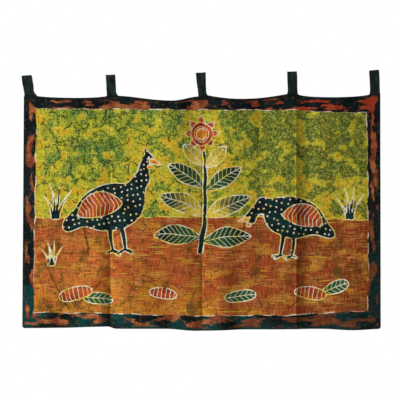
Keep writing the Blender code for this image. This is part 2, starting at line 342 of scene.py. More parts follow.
def leaf_shape(a, b, length, half):
    """The distance to a leaf between two arcs that meet in points at 0 and at its length."""
    radius = (half * half + length * length / 4) / (2 * half)
    return np.hypot(a - length / 2, np.abs(b) + radius - half) - radius


def joined(one, other, reach):
    """The smaller of two distances, with the corner between them rounded over a reach."""
    h = np.clip(0.5 + 0.5 * (other - one) / reach, 0.0, 1.0)
    return other + h * (one - other) - reach * h * (1.0 - h)


def stem_x(height):
    """The stem sways by a sine along its height."""
    return 0.016 * np.sin(8.3 * height) - 0.004


for x_place, z_place, size, facing, neck in FOWL:
    bx, bz = (hand_x - x_place) * facing / size, (hand_z - z_place) / size
    along, aside = turned(bx, bz, (0.0, 0.0), 12)
    body = ellipse(along, aside, 0.094, 0.066)
    body = joined(body, ellipse(*turned(bx, bz, (-0.090, -0.030), 38), 0.052, 0.024), 0.03)
    for start, end, start_radius, end_radius in zip(neck, neck[1:], NECK_RADII, NECK_RADII[1:]):
        body = joined(body, limb(bx, bz, start, end, start_radius, end_radius), 0.012)
    hx, hz = neck[-1]
    body = joined(body, np.hypot(bx - hx, bz - hz) - 0.0175, 0.006)
    crest = limb(bx, bz, (hx - 0.002, hz + 0.014), (hx - 0.010, hz + 0.031), 0.0075, 0.0035)
    body = joined(body, crest, 0.004)
    for hip, foot in LEGS:
        draw("under", size * limb(bx, bz, hip, foot, 0.0075, 0.0042), bx, bz, PLAIN)
        for reach, fall in TOES:
            toe = (foot[0] + reach, foot[1] + fall)
            draw("under", size * limb(bx, bz, foot, toe, 0.0044, 0.0030), bx, bz, PLAIN)
    draw("under", size * body, size * along, size * aside, SPOTS)
    wing_a, wing_b = turned(bx, bz, (-0.022, 0.004), 14)
    wing_b = wing_b + 3.0 * (wing_a + 0.01) ** 2
    wing = leaf_shape(wing_a + 0.078, wing_b - 0.006, 0.135, 0.036)
    draw("over", size * wing, size * (wing_a + 0.35 * np.abs(wing_b)), size * wing_b, BARS)
    beak = limb(bx, bz, (hx + 0.012, hz - 0.003), (hx + 0.036, hz - 0.010), 0.0072, 0.0022)
    wattle = np.hypot(bx - hx - 0.006, bz - hz + 0.020) - 0.0066
    eye = np.hypot(bx - hx - 0.001, bz - hz - 0.004) - 0.0022
    draw("top", size * np.minimum(np.minimum(beak, wattle), eye), bx, bz, PLAIN)

height = hand_z - STEM_FOOT
past_end = np.maximum(0, np.maximum(-height, height - STEM_HEIGHT))
stem_radius = STEM_RADIUS - STEM_TAPER * np.clip(height / STEM_HEIGHT, 0, 1)
draw("under", np.hypot(hand_x - stem_x(height), past_end) - stem_radius, hand_x, hand_z, PLAIN)
for foot, side, angle, length, half, layer in LEAVES:
    a, b = turned((hand_x - stem_x(foot)) * side, hand_z, (0.004, STEM_FOOT + foot), angle)
    b = b + LEAF_DROOP * a * a
    draw(layer, leaf_shape(a, b, length, half), a, b, VEINS)
flower_a, flower_b = hand_x - stem_x(STEM_HEIGHT), height - STEM_HEIGHT - FLOWER_RISE
radius, turn = np.hypot(flower_a, flower_b), np.arctan2(flower_b, flower_a)
petals = radius - PETAL_RADIUS - PETAL_DEPTH * np.cos(PETALS * turn)
draw("over", 0.85 * petals, radius, 0.02 * turn, BARS)
draw("top", radius - FLOWER_EYE, flower_a, flower_b, PLAIN)
for x_place, z_place, angle, half_length, half_width, layer, pattern in PODS:
    a, b = turned(hand_x, hand_z, (x_place, z_place), angle)
    draw(layer, ellipse(a, b, half_length, half_width), a, b, pattern)
for x_place, z_place, size in TUFTS:
    for number, (lean, tall) in enumerate(BLADES):
        up = (hand_z - z_place) / (tall * size)
        share = np.clip(up, 0.0, 1.0)
        middle = x_place + 0.006 * (number - 1.5) + lean * size * share * share
        past_end = tall * size * np.maximum(0, np.maximum(-up, up - 1.0))
        blade = np.hypot(hand_x - middle, past_end) - 0.0055 * size * (1.0 - share) ** 0.7
        draw("under", blade, hand_x, hand_z, PLAIN)

# The wax line round the two fields, and the line between them: x, z or z, x along each side
FRAME_TOP = [
    (-0.530, -0.1120), (-0.303, -0.1136), (-0.005, -0.1164), (0.276, -0.1164), (0.448, -0.1248),
    (0.530, -0.1225),
]
FRAME_BOTTOM = [
    (-0.530, -0.7503), (-0.318, -0.7519), (-0.162, -0.7569), (-0.005, -0.7601), (0.245, -0.7585),
    (0.511, -0.7454), (0.530, -0.7440),
]
FRAME_LEFT = [(-0.78, -0.5260), (-0.55, -0.5240), (-0.30, -0.5195), (-0.10, -0.5170)]
FRAME_RIGHT = [(-0.78, 0.5180), (-0.60, 0.5215), (-0.35, 0.5195), (-0.10, 0.5165)]
HORIZON = [
    (-0.530, -0.4540), (-0.318, -0.4528), (-0.005, -0.4506), (0.214, -0.4506), (0.448, -0.4590),
    (0.530, -0.4600),
]
wave = 0.0012 * np.sin(47 * (x + z)) + 0.0008 * np.sin(113 * (x - z))
side_gap = np.minimum(x - through_points(z, FRAME_LEFT), through_points(z, FRAME_RIGHT) - x)
level_gap = np.minimum(through_points(x, FRAME_TOP) - z, z - through_points(x, FRAME_BOTTOM))
panel_fields = {
    "lines": np.stack([np.minimum(side_gap, level_gap) + wave, z - through_points(x, HORIZON) + wave], -1),
    "upright": (side_gap < level_gap).astype(float),
    "from_edge": from_edge,
}
panel_fields["lines"] = np.concatenate([panel_fields["lines"], 0 * x[..., None]], axis=-1)
for name, (distance, along, aside, *pattern) in layers.items():
    panel_fields[name + "_form"] = np.stack([along, aside, distance], axis=-1)
    panel_fields[name + "_pattern"] = np.stack(pattern, axis=-1)

panel = closed_sheet(
    "batik_panel_cloth",
    middle=np.stack([x, y, z], axis=-1),
    out=np.broadcast_to([0.0, -1.0, 0.0], x.shape + (3,)),
    thickness=full * edge_profile(from_edge, EDGE_ROUND),
    uv=np.stack([x, z], axis=-1),
    fields=panel_fields,
)


def dye(red, green, blue):
    """A colour from its 0 to 255 values, made linear: ((c + 0.055) / 1.055) to the power 2.4."""
    shares = [max(value / 255, 0.04045) for value in (red, green, blue)]
    return tuple(((share + 0.055) / 1.055) ** 2.4 for share in shares) + (1.0,)


def plug(tree, value, socket):
    """Links a socket to an input, or sets the input to a plain value."""
    if isinstance(value, bpy.types.NodeSocket):
        tree.links.new(value, socket)
    else:
        socket.default_value = value


def node(tree, kind, *inputs, settings=None, **named):
    """Adds a shader node with its settings, and fills its inputs in order or by name."""
    made = tree.nodes.new("ShaderNode" + kind)
    for name, value in (settings or {}).items():
        setattr(made, name, value)
    for value, socket in zip(inputs, made.inputs):
        plug(tree, value, socket)
    for name, value in named.items():
        plug(tree, value, made.inputs[name.replace("_", " ")])
    return made


def maths(tree, operation, *inputs):
    return node(tree, "Math", *inputs, settings={"operation": operation}).outputs[0]


def vectors(tree, operation, *inputs):
    return node(tree, "VectorMath", *inputs, settings={"operation": operation}).outputs[0]


def mix(tree, share, one, other):
    """A colour that goes from one to the other with the share."""
    made = node(tree, "Mix", settings={"data_type": "RGBA", "clamp_factor": True})
    for value, number in ((share, 0), (one, 6), (other, 7)):
        plug(tree, value, made.inputs[number])
    return made.outputs[2]


def tint(tree, colour, tone, share, strength=1.0):
    """The colour, taken towards a tone where the share is high."""
    return mix(tree, maths(tree, "MULTIPLY", share, strength), colour, tone)


def rise(tree, value, low, high):
    """0 below low, 1 above high, and eased between them. With low above high it falls instead."""
    made = node(tree, "MapRange", value, low, high, settings={"interpolation_type": "SMOOTHSTEP"})
    return made.outputs[0]


def blotches(tree, place, length, height, turn=0.0, start=0.0, detail=3.0, rough=0.55):
    """Soft noise whose blotches have about that length and height, turned by an angle."""
    made = node(tree, "Mapping", place, settings={"vector_type": "TEXTURE"})
    made.inputs["Location"].default_value = (start, 1.7 * start, 0.0)
    made.inputs["Rotation"].default_value = (0.0, 0.0, math.radians(turn))
    made.inputs["Scale"].default_value = (length, height, 1.0)
    flat = {"noise_dimensions": "2D"}
    made = node(tree, "TexNoise", settings=flat, Vector=made.outputs[0], Scale=1.0, Detail=detail)
    made.inputs["Roughness"].default_value = rough
    return made.outputs["Fac"]


def grainy(tree, value, place, size, amount):
    """A value with fine grain added, so that what it decides breaks up into specks at its rim."""
    grain = maths(tree, "SUBTRACT", blotches(tree, place, size, size, start=0.3), 0.5)
    return maths(tree, "MULTIPLY_ADD", grain, amount, value)


def parts(tree, vector):
    return node(tree, "SeparateXYZ", vector).outputs


def field(tree, name, output="Fac"):
    return node(tree, "Attribute", settings={"attribute_name": name}).outputs[output]


def new_group(name, inputs, outputs):
    """An empty node group with a vector input Place, the named number inputs, and number outputs."""
    tree = bpy.data.node_groups.new(name, "ShaderNodeTree")
    for word in inputs:
        kind = "NodeSocketVector" if word in ("Place", "Start", "End") else "NodeSocketFloat"
        tree.interface.new_socket(word, in_out="INPUT", socket_type=kind)
    for word in outputs:
        tree.interface.new_socket(word, in_out="OUTPUT", socket_type="NodeSocketFloat")
    return tree, tree.nodes.new("NodeGroupInput").outputs, tree.nodes.new("NodeGroupOutput").inputs


def grouped(tree, group, **inputs):
    return node(tree, "Group", settings={"node_tree": group}, **inputs).outputs


def weave_group():
    """Plain weave: the warp and the weft lie on top in turn, so the height is the higher of two rows
    of waves. Slubs are threads that are a little thicker or paler along some of their length."""
    tree, given, result = new_group("plain_weave", ("Place", "Pitch"), ("Height", "Slubs"))
    scaled = node(tree, "VectorMath", given["Place"], settings={"operation": "SCALE"})
    plug(tree, maths(tree, "DIVIDE", math.pi, given["Pitch"]), scaled.inputs["Scale"])
    across, down, _ = parts(tree, scaled.outputs[0])
    turn = maths(tree, "SINE", down)
    warp = maths(tree, "ABSOLUTE", maths(tree, "SINE", across))
    warp = maths(tree, "MULTIPLY", warp, maths(tree, "MULTIPLY_ADD", turn, 0.5, 0.5))
    weft = maths(tree, "ABSOLUTE", maths(tree, "COSINE", down))
    weft = maths(tree, "MULTIPLY", weft, maths(tree, "MULTIPLY_ADD", turn, -0.5, 0.5))
    plug(tree, maths(tree, "MAXIMUM", warp, weft), result["Height"])
    upright = blotches(tree, given["Place"], 0.0024, 0.040, detail=2.0)
    level = blotches(tree, given["Place"], 0.040, 0.0024, start=3.0, detail=2.0)
    plug(tree, maths(tree, "SUBTRACT", maths(tree, "ADD", upright, level), 1.0), result["Slubs"])
    return tree


def crackle_group():
    """Dye that ran into the cracked wax: thin lines along the edges of random cells, whose walls
    are bent by noise, and which show only where a second noise is high."""
    inputs = ("Place", "Cells", "Width", "Cover")
    tree, given, result = new_group("wax_crackle", inputs, ("Cracks",))
    place = given["Place"]
    bend = node(tree, "TexNoise", settings={"noise_dimensions": "2D"}, Vector=place, Scale=55.0, Detail=3.0)
    bend = vectors(tree, "SUBTRACT", bend.outputs["Color"], (0.5, 0.5, 0.5))
    bent = vectors(tree, "MULTIPLY_ADD", bend, (0.010, 0.010, 0.0), place)
    flat = {"voronoi_dimensions": "2D", "feature": "DISTANCE_TO_EDGE"}
    cells = node(tree, "TexVoronoi", settings=flat, Vector=bent, Scale=given["Cells"])
    width = maths(tree, "MULTIPLY", given["Width"], blotches(tree, place, 0.011, 0.011))
    line = rise(tree, maths(tree, "DIVIDE", cells.outputs["Distance"], width), 1.0, 0.3)
    shown = maths(tree, "ADD", blotches(tree, place, 0.018, 0.018, start=5.0, detail=4.0), given["Cover"])
    plug(tree, maths(tree, "MULTIPLY", line, rise(tree, shown, 0.96, 1.08)), result["Cracks"])
    return tree


def long_crack_group():
    """One long crack from a start to an end: how near a place is to that line, once the place is
    bent by noise, over half the crack's width."""
    inputs = ("Place", "Start", "End", "Width")
    tree, given, result = new_group("long_crack", inputs, ("Crack",))
    bend = node(tree, "TexNoise", settings={"noise_dimensions": "2D"}, Vector=given["Place"], Scale=30.0, Detail=5.0)
    bend = vectors(tree, "SUBTRACT", bend.outputs["Color"], (0.5, 0.5, 0.5))
    bent = vectors(tree, "MULTIPLY_ADD", bend, (0.016, 0.016, 0.0), given["Place"])
    run = vectors(tree, "SUBTRACT", given["End"], given["Start"])
    reach = vectors(tree, "SUBTRACT", bent, given["Start"])
    dots = []
    for one in (reach, run):
        made = node(tree, "VectorMath", one, run, settings={"operation": "DOT_PRODUCT"})
        dots.append(made.outputs["Value"])
    share = node(tree, "Clamp", maths(tree, "DIVIDE", *dots)).outputs[0]
    along = node(tree, "VectorMath", run, settings={"operation": "SCALE"})
    plug(tree, share, along.inputs["Scale"])
    off = node(tree, "VectorMath", reach, along.outputs[0], settings={"operation": "DISTANCE"})
    uneven = maths(tree, "MULTIPLY", given["Width"], blotches(tree, given["Place"], 0.010, 0.010, start=4.0))
    line = maths(tree, "SUBTRACT", 1.0, maths(tree, "DIVIDE", off.outputs["Value"], uneven))
    plug(tree, maths(tree, "MAXIMUM", line, 0.0), result["Crack"])
    return tree


weave, crackle, long_crack = weave_group(), crackle_group(), long_crack_group()

# Long cracks in the lower field: x, z of the start and the end, width
LONG_CRACKS = [
    ((-0.488, -0.597), (-0.450, -0.679), 0.0050), ((-0.450, -0.679), (-0.414, -0.742), 0.0060),
    ((-0.382, -0.716), (-0.346, -0.683), 0.0060), ((-0.346, -0.683), (-0.312, -0.650), 0.0045),
    ((-0.372, -0.462), (-0.353, -0.570), 0.0090),
]


def upper_field(tree, place, from_form):
    """Yellow-green, turning darker olive to the right, partly in the dye and partly as painted shade
    where the light falls off. It is smoother yellow and amber where the wax held, as round the drawing and
    in a strip along the left, green where dye seeped in, with dark strokes, cracks and dots throughout."""
    across = parts(tree, place)[0]
    broad = blotches(tree, place, 0.120, 0.110, detail=2.0)
    colour = mix(tree, rise(tree, broad, 0.32, 0.66), dye(128, 150, 44), dye(184, 176, 38))
    clouds = blotches(tree, place, 0.062, 0.072, start=5.0, detail=4.0, rough=0.6)
    seeped = rise(tree, grainy(tree, clouds, place, 0.0070, 0.22), 0.46, 0.62)
    leftness = rise(tree, across, 0.45, -0.30)
    # Darker olive to the right: partly the dye, partly painted shade where the light falls off.
    colour = tint(tree, colour, dye(102, 94, 32), maths(tree, "SUBTRACT", 1.0, leftness), 0.80)
    strength = maths(tree, "MULTIPLY_ADD", leftness, 0.52, 0.28)
    colour = tint(tree, colour, dye(72, 124, 62), maths(tree, "MULTIPLY", seeped, strength))
    held = blotches(tree, place, 0.044, 0.040, start=2.0, detail=3.0, rough=0.4)
    smooth = rise(tree, held, 0.53, 0.63)
    halo = maths(tree, "MULTIPLY_ADD", blotches(tree, place, 0.050, 0.050, start=14.0), -0.24, from_form)
    halo = rise(tree, halo, -0.088, -0.106)
    strip = maths(tree, "MULTIPLY_ADD", blotches(tree, place, 0.030, 0.050, start=3.0), 0.09, across)
    strip = rise(tree, strip, -0.415, -0.455)
    gilt = maths(tree, "MAXIMUM", halo, strip)
    smooth = maths(tree, "MAXIMUM", smooth, gilt)
    colour = tint(tree, colour, dye(202, 186, 36), smooth, 0.75)
    amber = maths(tree, "MULTIPLY_ADD", gilt, 0.18, held)
    colour = tint(tree, colour, dye(216, 158, 24), rise(tree, amber, 0.64, 0.76), 0.70)
    mottle = blotches(tree, place, 0.0090, 0.0075, start=13.0, detail=3.0, rough=0.65)
    colour = tint(tree, colour, dye(70, 84, 26), rise(tree, mottle, 0.48, 0.34), 0.35)
    colour = tint(tree, colour, dye(204, 196, 84), rise(tree, mottle, 0.54, 0.68), 0.30)
    broken = maths(tree, "SUBTRACT", 1.0, maths(tree, "MULTIPLY", smooth, 0.55))
    strokes = 0.0
    for turn, start in ((20, 7.0), (-50, 8.0), (84, 9.0), (-14, 16.0)):
        stretched = blotches(tree, place, 0.0200, 0.0034, turn, start, detail=1.0)
        strokes = maths(tree, "MAXIMUM", strokes, rise(tree, stretched, 0.59, 0.67))
    colour = tint(tree, colour, dye(50, 78, 30), maths(tree, "MULTIPLY", strokes, broken), 0.75)
    for turn, start in ((62, 6.0), (-30, 15.0)):
        pale = rise(tree, blotches(tree, place, 0.0150, 0.0036, turn, start, detail=1.0), 0.60, 0.69)
        colour = tint(tree, colour, dye(204, 198, 92), pale, 0.45)
    cover = maths(tree, "MULTIPLY_ADD", smooth, -0.10, maths(tree, "MULTIPLY_ADD", seeped, 0.05, 0.53))
    firmness = maths(tree, "MULTIPLY_ADD", leftness, 0.35, 0.60)
    for cells, width, more, tone, share in (
        (88.0, 0.30, -0.06, dye(56, 86, 38), 0.50), (46.0, 0.17, -0.01, dye(42, 68, 30), 0.80),
        (22.0, 0.095, 0.06, dye(34, 48, 24), 0.95),
    ):
        shown = maths(tree, "ADD", cover, more)
        cracks = grouped(tree, crackle, Place=place, Cells=cells, Width=width, Cover=shown)["Cracks"]
        colour = tint(tree, colour, tone, maths(tree, "MULTIPLY", cracks, firmness), share)
    cells = node(tree, "TexVoronoi", settings={"voronoi_dimensions": "2D"}, Vector=place, Scale=72.0)
    dots = maths(tree, "GREATER_THAN", parts(tree, cells.outputs["Color"])[0], 0.62)
    dots = maths(tree, "MULTIPLY", dots, rise(tree, cells.outputs["Distance"], 0.20, 0.08))
    return tint(tree, colour, dye(36, 48, 24), maths(tree, "MULTIPLY", dots, broken), 0.85)


def lower_field(tree, place):
    """Rust, deeper to the right, partly in the dye and partly as painted shade where the light falls off,
    clouded with red and gold, smoky at the left, and brushed with level streaks and bars. Dye that ran
    into a few long cracks shows dark."""
    across, up, _ = parts(tree, place)
    # Deeper rust to the right: partly the dye, partly painted shade where the light falls off.
    side = maths(tree, "MULTIPLY_ADD", blotches(tree, place, 0.120, 0.080), 0.5, across)
    colour = mix(tree, rise(tree, side, -0.15, 0.30), dye(194, 102, 44), dye(158, 66, 28))
    colour = mix(tree, rise(tree, side, 0.25, 0.75), colour, dye(116, 50, 18))
    red = rise(tree, blotches(tree, place, 0.080, 0.045, start=3.0), 0.46, 0.60)
    colour = tint(tree, colour, dye(158, 56, 30), red, 0.65)
    below = rise(tree, maths(tree, "MULTIPLY_ADD", blotches(tree, place, 0.06, 0.02), 0.08, up), -0.49, -0.43)
    colour = tint(tree, colour, dye(146, 54, 28), below, 0.75)
    gold = grainy(tree, blotches(tree, place, 0.085, 0.045, start=1.0, detail=3.0), place, 0.0050, 0.25)
    colour = tint(tree, colour, dye(196, 136, 42), rise(tree, gold, 0.52, 0.66), 0.75)
    low = maths(tree, "MULTIPLY_ADD", blotches(tree, place, 0.050, 0.030, start=2.0), 0.30, up)
    low = maths(tree, "MULTIPLY", rise(tree, low, -0.48, -0.60), rise(tree, across, 0.25, -0.15))
    colour = tint(tree, colour, dye(204, 142, 30), low, 0.60)
    patches = rise(tree, blotches(tree, place, 0.090, 0.045, start=6.0), 0.44, 0.62)
    for tone, length, height, start, share, least in (
        (dye(96, 42, 16), 0.050, 0.0036, 7.0, 0.75, 0.45), (dye(214, 150, 90), 0.055, 0.0032, 5.0, 0.55, 0.25),
        (dye(196, 148, 52), 0.110, 0.0048, 6.0, 0.40, 0.1), (dye(108, 54, 20), 0.030, 0.0026, 17.0, 0.60, 0.45),
    ):
        streaks = rise(tree, blotches(tree, place, length, height, start=start), 0.51, 0.64)
        streaks = maths(tree, "MULTIPLY", streaks, maths(tree, "MULTIPLY_ADD", patches, 1.0 - least, least))
        colour = tint(tree, colour, tone, streaks, share)
    bars = rise(tree, blotches(tree, place, 0.130, 0.0090, start=12.0), 0.65, 0.74)
    colour = tint(tree, colour, dye(202, 164, 44), bars, 0.80)
    for tone, start in ((dye(206, 140, 78), 8.0), (dye(104, 48, 20), 9.0)):
        threads = rise(tree, blotches(tree, place, 0.0030, 0.030, start=start, detail=2.0), 0.54, 0.70)
        colour = tint(tree, colour, tone, threads, 0.40)
    smoke = grainy(tree, blotches(tree, place, 0.050, 0.060, start=10.0, detail=4.0), place, 0.0060, 0.30)
    smoke = maths(tree, "MULTIPLY_ADD", rise(tree, across, -0.25, -0.50), 0.09, smoke)
    colour = tint(tree, colour, dye(82, 64, 26), rise(tree, smoke, 0.57, 0.76), 0.75)
    specks = rise(tree, blotches(tree, place, 0.0062, 0.0050, start=11.0), 0.58, 0.70)
    colour = tint(tree, colour, dye(86, 46, 18), specks, 0.50)
    cracks = grouped(tree, crackle, Place=place, Cells=22.0, Width=0.11, Cover=0.50)["Cracks"]
    colour = tint(tree, colour, dye(62, 46, 22), cracks, 0.75)
    for start, end, width in LONG_CRACKS:
        line = grouped(tree, long_crack, Place=place, Start=start + (0,), End=end + (0,), Width=width)
        colour = tint(tree, colour, dye(56, 44, 20), line["Crack"], 1.0)
    return colour


def border(tree, place):
    """Blue-black overdye, tealer low down, with blotches of rust and tan brushed along each side,
    redder at the top right. The outermost strip stays clear of them."""
    across, up, _ = parts(tree, place)
    colour = mix(tree, rise(tree, blotches(tree, place, 0.040, 0.040), 0.35, 0.65), dye(10, 18, 21), dye(18, 29, 28))
    teal = rise(tree, blotches(tree, place, 0.100, 0.080, start=1.0), 0.42, 0.60)
    teal = maths(tree, "MULTIPLY", teal, rise(tree, up, -0.25, -0.78))
    leftness = rise(tree, across, 0.5, -0.2)
    teal = maths(tree, "MULTIPLY", teal, maths(tree, "MULTIPLY_ADD", leftness, 0.5, 0.5))
    colour = tint(tree, colour, dye(10, 58, 56), teal, 0.95)
    plum = rise(tree, blotches(tree, place, 0.060, 0.060, start=4.0), 0.55, 0.70)
    colour = tint(tree, colour, dye(38, 24, 28), plum, 0.5)
    level = blotches(tree, place, 0.080, 0.024, start=1.3, detail=3.0, rough=0.5)
    upright = blotches(tree, place, 0.024, 0.075, start=6.0, detail=3.0, rough=0.5)
    side = field(tree, "upright")
    blotch = maths(tree, "MULTIPLY_ADD", side, maths(tree, "SUBTRACT", upright, level), level)
    blotch = rise(tree, grainy(tree, blotch, place, 0.0045, 0.16), 0.518, 0.560)
    inside = rise(tree, field(tree, "from_edge"), 0.004, 0.014)
    rust = mix(tree, rise(tree, blotches(tree, place, 0.034, 0.034), 0.38, 0.62), dye(134, 62, 36), dye(184, 108, 62))
    red = maths(tree, "MULTIPLY", rise(tree, across, 0.0, 0.25), rise(tree, up, -0.30, -0.10))
    rust = tint(tree, rust, dye(176, 52, 30), red, 0.75)
    deep = maths(tree, "MULTIPLY", rise(tree, across, -0.15, 0.35), rise(tree, up, -0.35, -0.60))
    rust = tint(tree, rust, dye(92, 46, 24), deep, 0.75)
    grain = rise(tree, blotches(tree, place, 0.0050, 0.0040, start=2.0), 0.34, 0.60)
    cover = maths(tree, "MULTIPLY_ADD", grain, 0.42, 0.48)
    colour = tint(tree, colour, rust, maths(tree, "MULTIPLY", blotch, inside), cover)
    flecks = rise(tree, blotches(tree, place, 0.014, 0.009, start=9.0, detail=4.0), 0.60, 0.70)
    return tint(tree, colour, dye(100, 84, 40), flecks, 0.45)


def wax_line(tree, place, distance, half, cover):
    """A line of wax where a distance passes zero, uneven in width and thin in places."""
    width = maths(tree, "MULTIPLY_ADD", blotches(tree, place, 0.016, 0.016), half * 1.6, half * 0.2)
    line = rise(tree, maths(tree, "SUBTRACT", maths(tree, "ABSOLUTE", distance), width), 0.0005, -0.0004)
    line_mask = maths(tree, "ADD", blotches(tree, place, 0.038, 0.038, start=12.0, detail=4.0), cover)
    return maths(tree, "MULTIPLY", line, rise(tree, line_mask, 0.88, 1.05))


def pattern_marks(tree, layer, along, aside):
    """The wax marks inside the forms of a layer: spots, the ribs and midrib of a leaf, or bars."""
    local = node(tree, "CombineXYZ", along, aside).outputs[0]
    loose = {"voronoi_dimensions": "2D"}
    cells = node(tree, "TexVoronoi", settings=loose, Vector=local, Scale=56.0, Randomness=0.45)
    spots = rise(tree, cells.outputs["Distance"], 0.20, 0.12)
    unsure = maths(tree, "MULTIPLY_ADD", blotches(tree, local, 0.014, 0.014), 0.006, along)
    ribs = maths(tree, "MULTIPLY_ADD", maths(tree, "ABSOLUTE", aside), -0.9, unsure)
    ribs = rise(tree, maths(tree, "PINGPONG", ribs, 0.008), 0.0014, 0.0006)
    midrib = rise(tree, maths(tree, "ABSOLUTE", aside), 0.0016, 0.0008)
    veins = maths(tree, "MAXIMUM", ribs, midrib)
    bars = rise(tree, maths(tree, "PINGPONG", unsure, 0.0065), 0.0015, 0.0007)
    marks = node(tree, "CombineXYZ", spots, veins, bars).outputs[0]
    pattern = field(tree, layer + "_pattern", "Vector")
    made = node(tree, "VectorMath", marks, pattern, settings={"operation": "DOT_PRODUCT"})
    return made.outputs["Value"]


def fabric(name):
    """A material set up as matt cotton, with hardly any gloss."""
    material = bpy.data.materials.new(name)
    material.use_nodes = True
    shader = material.node_tree.nodes["Principled BSDF"]
    shader.inputs["Specular IOR Level"].default_value = 0.06
    return material, material.node_tree, shader


def show_weave(tree, shader, place, colour, shade, relief):
    """Slubs make the colour paler or darker, the low places between the threads darken it as painted shade, and their
    height gives the roughness and a fine bump.
    """
    woven = grouped(tree, weave, Place=place, Pitch=0.0009)
    light = maths(tree, "MULTIPLY_ADD", woven["Slubs"], shade, 1.0)
    # The low places of the weave darken the colour: painted shade between the threads.
    light = maths(tree, "MULTIPLY", light, maths(tree, "MULTIPLY_ADD", woven["Height"], 0.14, 0.92))
    shaded = node(tree, "VectorMath", colour, settings={"operation": "SCALE"}, Scale=light)
    plug(tree, shaded.outputs[0], shader.inputs["Base Color"])
    plug(tree, maths(tree, "MULTIPLY_ADD", woven["Height"], -0.12, 0.95), shader.inputs["Roughness"])
    height = maths(tree, "MULTIPLY_ADD", woven["Slubs"], 0.8, woven["Height"])
    bump = node(tree, "Bump", Strength=relief, Distance=0.0004, Height=height)
    plug(tree, bump.outputs[0], shader.inputs["Normal"])


panel_cloth, tree, shader = fabric("batik_cotton")
place = node(tree, "UVMap", settings={"uv_map": "cloth"}).outputs[0]
drift = node(tree, "TexNoise", settings={"noise_dimensions": "2D"}, Vector=place, Scale=38.0, Detail=3.0)
drift = vectors(tree, "SUBTRACT", drift.outputs["Color"], (0.5, 0.5, 0.5))
loose = vectors(tree, "MULTIPLY_ADD", drift, (0.010, 0.010, 0.0), place)
frame_line, horizon, _ = parts(tree, field(tree, "lines", "Vector"))
above = rise(tree, horizon, -0.0006, 0.0006)
from_form = [parts(tree, field(tree, layer + "_form", "Vector"))[2] for layer in ("under", "over")]
from_form = maths(tree, "MINIMUM", *from_form)
colour = mix(tree, above, lower_field(tree, place), upper_field(tree, place, from_form))
colour = tint(tree, colour, dye(216, 190, 92), wax_line(tree, place, horizon, 0.0014, 0.50))

under_along = parts(tree, field(tree, "under_form", "Vector"))[0]
over_along = parts(tree, field(tree, "over_form", "Vector"))[0]
teal_black = mix(tree, rise(tree, blotches(tree, loose, 0.040, 0.040), 0.36, 0.66), dye(14, 24, 28), dye(16, 46, 46))
dark_leaf = mix(tree, rise(tree, under_along, 0.02, 0.13), dye(42, 80, 46), dye(15, 36, 35))
sunlit = maths(tree, "MULTIPLY_ADD", blotches(tree, loose, 0.025, 0.025), 0.08, over_along)
sunlit_leaf = mix(tree, rise(tree, sunlit, 0.06, 0.15), dye(204, 178, 48), dye(26, 56, 42))
rust_red = mix(tree, rise(tree, blotches(tree, loose, 0.035, 0.035), 0.36, 0.64), dye(132, 44, 26), dye(178, 80, 38))
amber = mix(tree, rise(tree, blotches(tree, loose, 0.018, 0.018), 0.40, 0.64), dye(214, 150, 40), dye(186, 84, 34))
veined = [parts(tree, field(tree, layer + "_pattern", "Vector"))[1] for layer in ("under", "over")]
FILLS = {
    "under": mix(tree, veined[0], teal_black, dark_leaf),
    "over": mix(tree, veined[1], rust_red, sunlit_leaf),
    "top": amber,
}
wax = mix(tree, rise(tree, blotches(tree, place, 0.045, 0.045), 0.42, 0.60), dye(220, 212, 184), dye(214, 190, 104))
for layer, fill in FILLS.items():
    along, aside, distance = parts(tree, field(tree, layer + "_form", "Vector"))
    fill = tint(tree, fill, wax, pattern_marks(tree, layer, along, aside), 0.9)
    fill = tint(tree, fill, dye(96, 108, 60), rise(tree, blotches(tree, loose, 0.012, 0.005, start=7.0), 0.62, 0.72), 0.35)
    colour = mix(tree, rise(tree, distance, 0.0004, -0.0004), colour, fill)
    colour = tint(tree, colour, wax, wax_line(tree, place, distance, 0.0014, 0.60))

colour = mix(tree, rise(tree, frame_line, -0.0007, 0.0007), border(tree, loose), colour)
frame_wax = mix(tree, rise(tree, blotches(tree, place, 0.055, 0.055), 0.42, 0.60), dye(216, 208, 184), dye(200, 152, 128))
colour = tint(tree, colour, frame_wax, wax_line(tree, place, frame_line, 0.0014, 0.46), 0.9)
# A dark line along each pressed crease: painted shade in the fold, with wear of the dye along it.
for crease in CREASES[::2]:
    line = maths(tree, "ABSOLUTE", maths(tree, "SUBTRACT", parts(tree, place)[0], crease[0]))
    line_mask = maths(tree, "MULTIPLY", rise(tree, line, 0.0024, 0.0006), blotches(tree, place, 0.010, 0.050))
    colour = tint(tree, colour, dye(34, 28, 14), line_mask, 0.90)
colour = tint(tree, colour, dye(150, 140, 110), field(tree, "back"), 0.16)
show_weave(tree, shader, place, colour, 0.7, 0.35)
panel.data.materials.append(panel_cloth)
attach(panel, "root")
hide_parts("batik_panel")


# The tab loops are five strips of near-black cotton, pressed flat and folded over. The two ends of
# each lie behind the top hem, held by its stitching, and most spread a little where they meet it.
LOOP_RADIUS = 0.011
STRIP, STRIP_GAP = 0.0010, 0.0003
CAD_SHEET, CAD_HEM = 0.0010, 0.0018
NECK = 0.002
PATH_STEP, CROWN_STEPS = 0.0014, 26
STRIP_ROUND = 0.0012
STRIP_EDGE, STRIP_THIN = 0.004, 0.72

SPREAD_HEIGHT = 0.014


